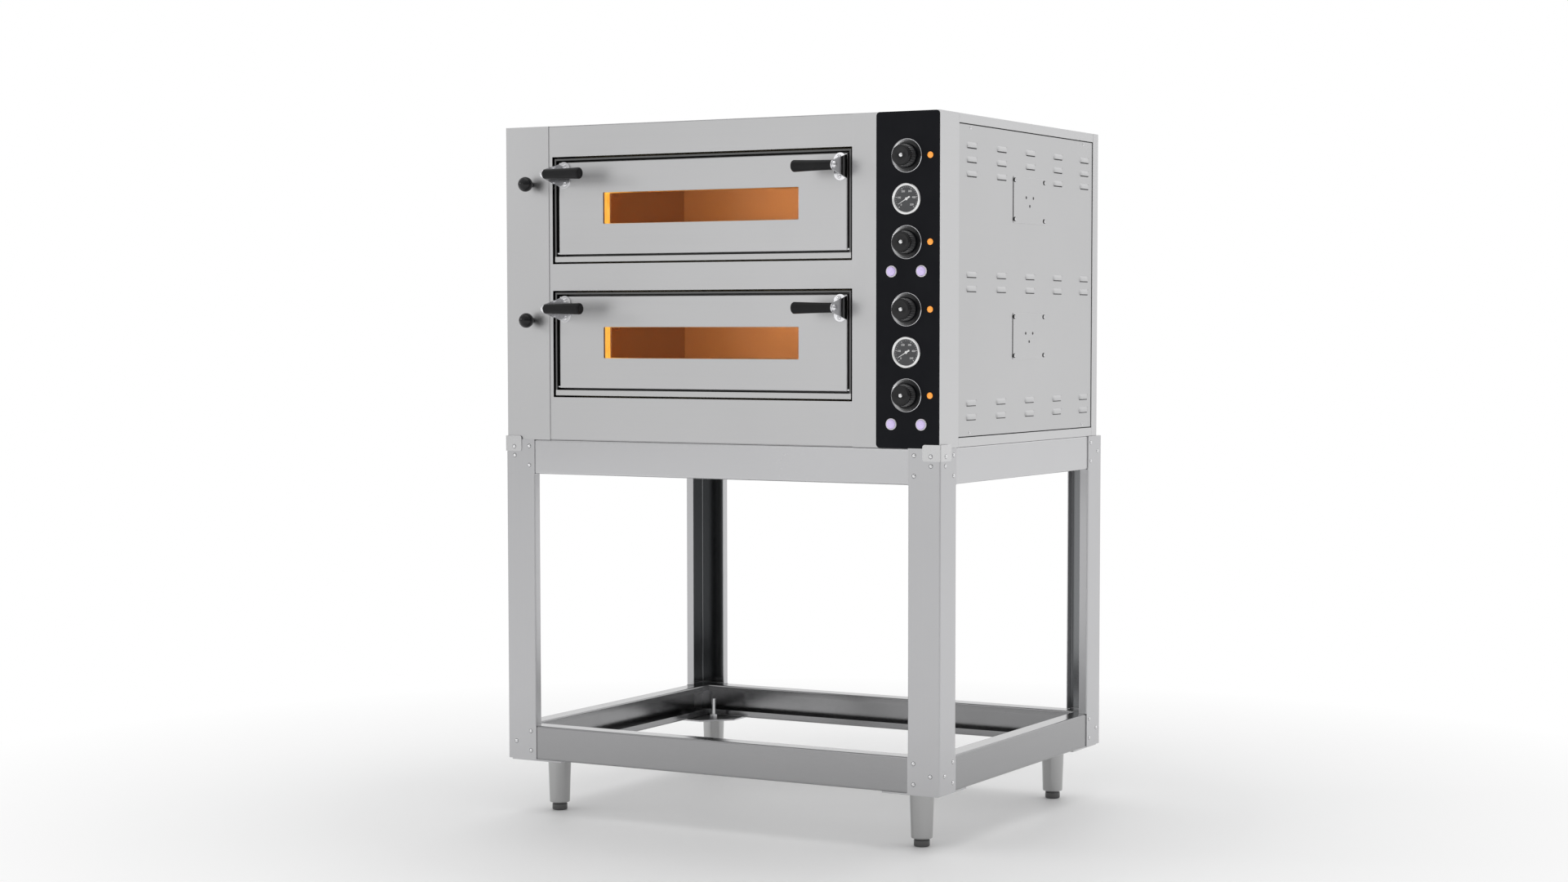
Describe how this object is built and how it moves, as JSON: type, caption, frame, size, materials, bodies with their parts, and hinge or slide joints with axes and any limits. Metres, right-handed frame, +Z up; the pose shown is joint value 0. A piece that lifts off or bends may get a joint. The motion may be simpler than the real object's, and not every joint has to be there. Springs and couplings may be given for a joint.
{
  "type": "deck pizza oven",
  "caption": "Electric pizza oven with stacked baking chambers, drop-down glazed doors, side control panel and an open leg stand.",
  "frame": {"origin": "on the floor under the middle of the object's bounding box", "axes": "+Z up, -Y towards the user at the doors, +X to the right seen from the front, where the controls are"},
  "size_m": [1.0878, 0.9225, 1.53],
  "materials": {
    "stand_steel": "brushed",
    "foot_steel": "satin turned",
    "bright_steel": "bright",
    "front_steel": "fine horizontal brushing",
    "casing_steel": "smooth satin",
    "chamber_steel": "heat-tinted",
    "baking_stone": "fired clay",
    "element_steel": "oxidised",
    "mineral_wool": "fibrous",
    "seal_rope": "woven glass rope",
    "amber_glass": "tinted",
    "chrome": "polished",
    "black_grip": "moulded",
    "black_plate": "screen-printed sheet",
    "switch_white": "translucent",
    "pointer_white": "enamel",
    "orange_lens": "faceted lens",
    "black_nylon": "moulded"
  },
  "bodies": {
    "root": {"legs": "stand_steel", "top_rails": "stand_steel", "bottom_rails": "stand_steel", "foot_plates": "stand_steel", "foot_tubes": "foot_steel", "foot_studs": "bright_steel", "corner_clips": "stand_steel", "stand_rivets": "bright_steel", "base_pan": "casing_steel", "top_cover": "casing_steel", "front_fascia": "front_steel", "front_pillars": "front_steel", "rear_panel": "casing_steel", "side_panel_left": "casing_steel", "side_panel_right": "casing_steel", "access_covers": "casing_steel", "casing_screws": "bright_steel", "mouth_frames": "front_steel", "door_seals": "seal_rope", "chamber_lower": "chamber_steel", "chamber_upper": "chamber_steel", "deck_stones": "baking_stone", "heating_elements": "element_steel", "insulation": "mineral_wool", "flue_duct": "casing_steel", "cable_gland": "black_nylon", "control_plate": "black_plate", "knob_bezels": "chrome", "thermostats": "black_nylon", "gauge_cases": "chrome", "pilot_lamps": "orange_lens", "button_collars": "switch_white"},
    "door_lower": {"door_skin_lower": "front_steel", "door_liner_lower": "casing_steel", "window_glass_lower": "amber_glass", "hinge_pins_lower": "bright_steel", "handle_brackets_lower": "chrome", "handle_grips_lower": "black_grip"},
    "door_upper": {"door_skin_upper": "front_steel", "door_liner_upper": "casing_steel", "window_glass_upper": "amber_glass", "hinge_pins_upper": "bright_steel", "handle_brackets_upper": "chrome", "handle_grips_upper": "black_grip"},
    "knob_lower_deck_floor": {"knob_lower_deck_floor": "black_grip"},
    "knob_lower_deck_roof": {"knob_lower_deck_roof": "black_grip"},
    "knob_upper_deck_floor": {"knob_upper_deck_floor": "black_grip"},
    "knob_upper_deck_roof": {"knob_upper_deck_roof": "black_grip"},
    "button_lower_lamp": {"button_lower_lamp": "switch_white"},
    "button_lower_power": {"button_lower_power": "switch_white"},
    "button_upper_lamp": {"button_upper_lamp": "switch_white"},
    "button_upper_power": {"button_upper_power": "switch_white"},
    "gauge_pointer_lower": {"gauge_pointer_lower": "pointer_white"},
    "gauge_pointer_upper": {"gauge_pointer_upper": "pointer_white"},
    "vent_damper_lower": {"vent_damper_lower": "black_grip"},
    "vent_damper_upper": {"vent_damper_upper": "black_grip"},
    "foot_end_front_left": {"foot_end_front_left": "foot_steel"},
    "foot_end_front_right": {"foot_end_front_right": "foot_steel"},
    "foot_end_rear_right": {"foot_end_rear_right": "foot_steel"},
    "foot_end_rear_left": {"foot_end_rear_left": "foot_steel"}
  },
  "joints": [
    {"name": "door_lower_hinge", "type": "hinge", "parent": "root", "child": "door_lower", "pos_m": [-0.041, -0.38525, 0.958], "axis": [1, 0, 0], "range_deg": [0, 90]},
    {"name": "door_upper_hinge", "type": "hinge", "parent": "root", "child": "door_upper", "pos_m": [-0.041, -0.38525, 1.251], "axis": [1, 0, 0], "range_deg": [0, 90]},
    {"name": "knob_lower_deck_floor_turn", "type": "hinge", "parent": "root", "child": "knob_lower_deck_floor", "pos_m": [0.4613, -0.39675, 0.949], "axis": [0, 1, 0], "range_deg": [0, 270]},
    {"name": "knob_lower_deck_roof_turn", "type": "hinge", "parent": "root", "child": "knob_lower_deck_roof", "pos_m": [0.4613, -0.39675, 1.1253], "axis": [0, 1, 0], "range_deg": [0, 270]},
    {"name": "knob_upper_deck_floor_turn", "type": "hinge", "parent": "root", "child": "knob_upper_deck_floor", "pos_m": [0.4613, -0.39675, 1.263], "axis": [0, 1, 0], "range_deg": [0, 270]},
    {"name": "knob_upper_deck_roof_turn", "type": "hinge", "parent": "root", "child": "knob_upper_deck_roof", "pos_m": [0.4613, -0.39675, 1.4393], "axis": [0, 1, 0], "range_deg": [0, 270]},
    {"name": "button_lower_lamp_push", "type": "slide", "parent": "root", "child": "button_lower_lamp", "axis": [0, 1, 0], "range_m": [0, 0.003], "stiffness_N_per_m": 400},
    {"name": "button_lower_power_push", "type": "slide", "parent": "root", "child": "button_lower_power", "axis": [0, 1, 0], "range_m": [0, 0.003], "stiffness_N_per_m": 400},
    {"name": "button_upper_lamp_push", "type": "slide", "parent": "root", "child": "button_upper_lamp", "axis": [0, 1, 0], "range_m": [0, 0.003], "stiffness_N_per_m": 400},
    {"name": "button_upper_power_push", "type": "slide", "parent": "root", "child": "button_upper_power", "axis": [0, 1, 0], "range_m": [0, 0.003], "stiffness_N_per_m": 400},
    {"name": "gauge_pointer_lower_turn", "type": "hinge", "parent": "root", "child": "gauge_pointer_lower", "pos_m": [0.4613, -0.39865, 1.0372], "axis": [0, 1, 0], "range_deg": [0, 250], "stiffness_Nm_per_rad": 0.004},
    {"name": "gauge_pointer_upper_turn", "type": "hinge", "parent": "root", "child": "gauge_pointer_upper", "pos_m": [0.4613, -0.39865, 1.3512], "axis": [0, 1, 0], "range_deg": [0, 250], "stiffness_Nm_per_rad": 0.004},
    {"name": "vent_damper_lower_pull", "type": "slide", "parent": "root", "child": "vent_damper_lower", "axis": [0, -1, 0], "range_m": [0, 0.05]},
    {"name": "vent_damper_upper_pull", "type": "slide", "parent": "root", "child": "vent_damper_upper", "axis": [0, -1, 0], "range_m": [0, 0.05]},
    {"name": "foot_end_front_left_level", "type": "slide", "parent": "root", "child": "foot_end_front_left", "axis": [0, 0, -1], "range_m": [0, 0.02]},
    {"name": "foot_end_front_right_level", "type": "slide", "parent": "root", "child": "foot_end_front_right", "axis": [0, 0, -1], "range_m": [0, 0.02]},
    {"name": "foot_end_rear_right_level", "type": "slide", "parent": "root", "child": "foot_end_rear_right", "axis": [0, 0, -1], "range_m": [0, 0.02]},
    {"name": "foot_end_rear_left_level", "type": "slide", "parent": "root", "child": "foot_end_rear_left", "axis": [0, 0, -1], "range_m": [0, 0.02]}
  ]
}
